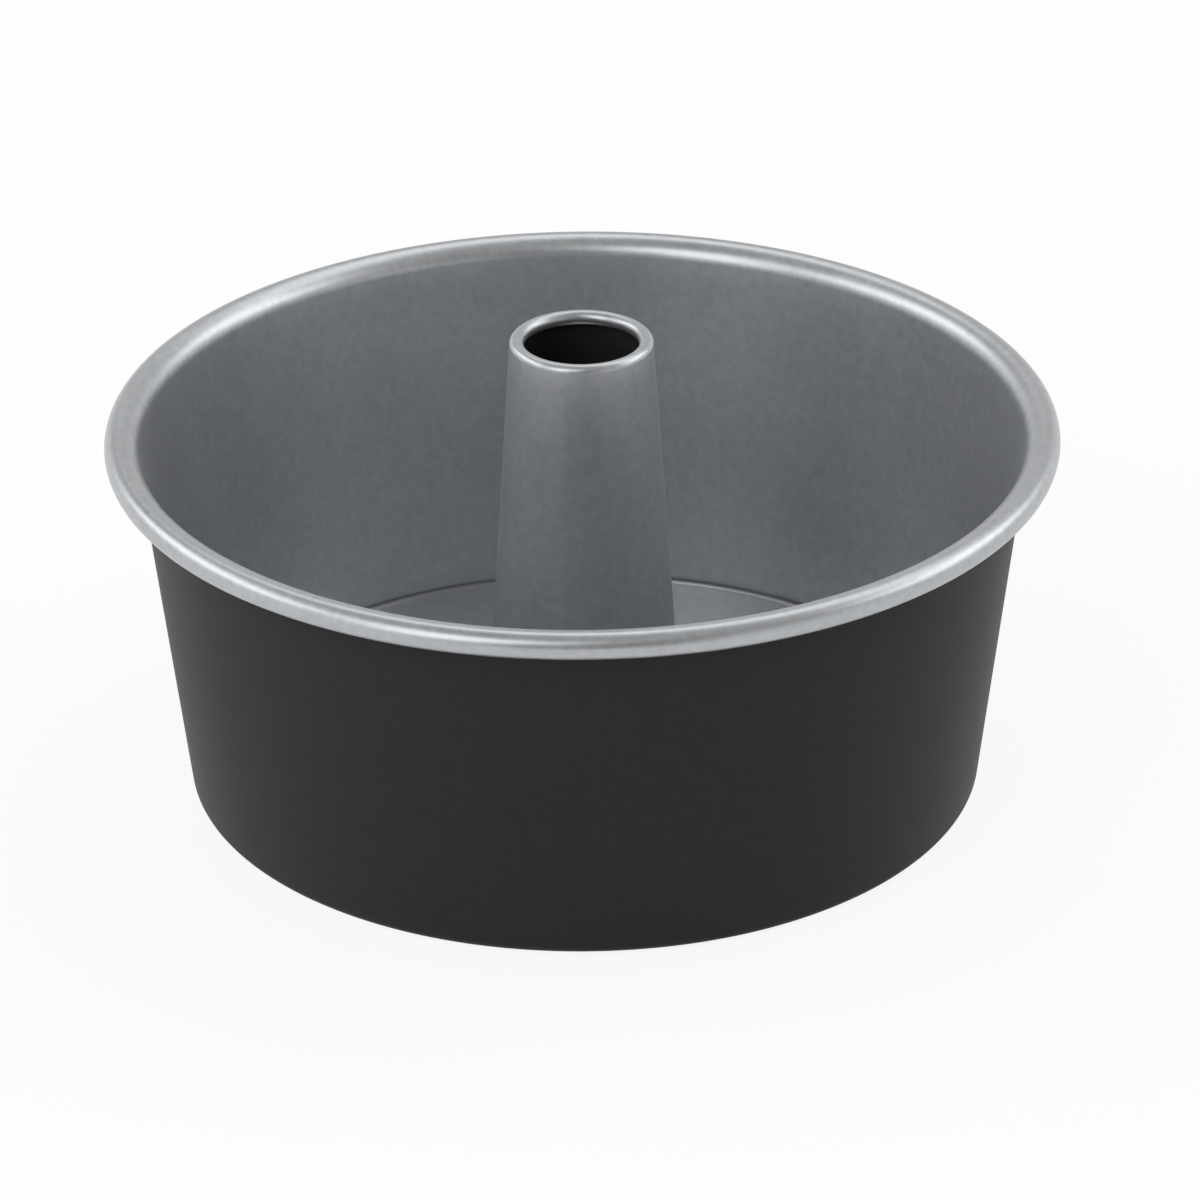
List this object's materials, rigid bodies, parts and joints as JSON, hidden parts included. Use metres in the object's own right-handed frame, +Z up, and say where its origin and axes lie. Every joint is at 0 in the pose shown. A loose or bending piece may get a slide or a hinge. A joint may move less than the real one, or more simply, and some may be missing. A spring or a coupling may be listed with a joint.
{
  "type": "angel food cake pan",
  "caption": "Round tapered tube pan with a rolled rim and a lift-out base that carries a tall hollow centre tube, for baking ring-shaped sponge cakes.",
  "frame": {"origin": "on the table, under the middle of the pan", "axes": "+Z up along the pan's own axis, along which the insert lifts out; +X and +Y are alike, because the pan is round"},
  "size_m": [0.248, 0.248, 0.1235],
  "materials": {
    "charcoal_coating": "satin charcoal non-stick on sheet steel; the cake's side and the rolled rim are silver-grey",
    "silver_coating": "satin silver-grey non-stick on sheet steel; the underside and the inside of the tube are charcoal"
  },
  "bodies": {
    "shell": {"outer_shell": "charcoal_coating"},
    "insert": {"base_plate": "silver_coating", "centre_tube": "silver_coating"}
  },
  "joints": [
    {"name": "insert_lift", "type": "slide", "parent": "shell", "child": "insert", "axis": [0, 0, 1], "range_m": [0, 0.12]}
  ]
}
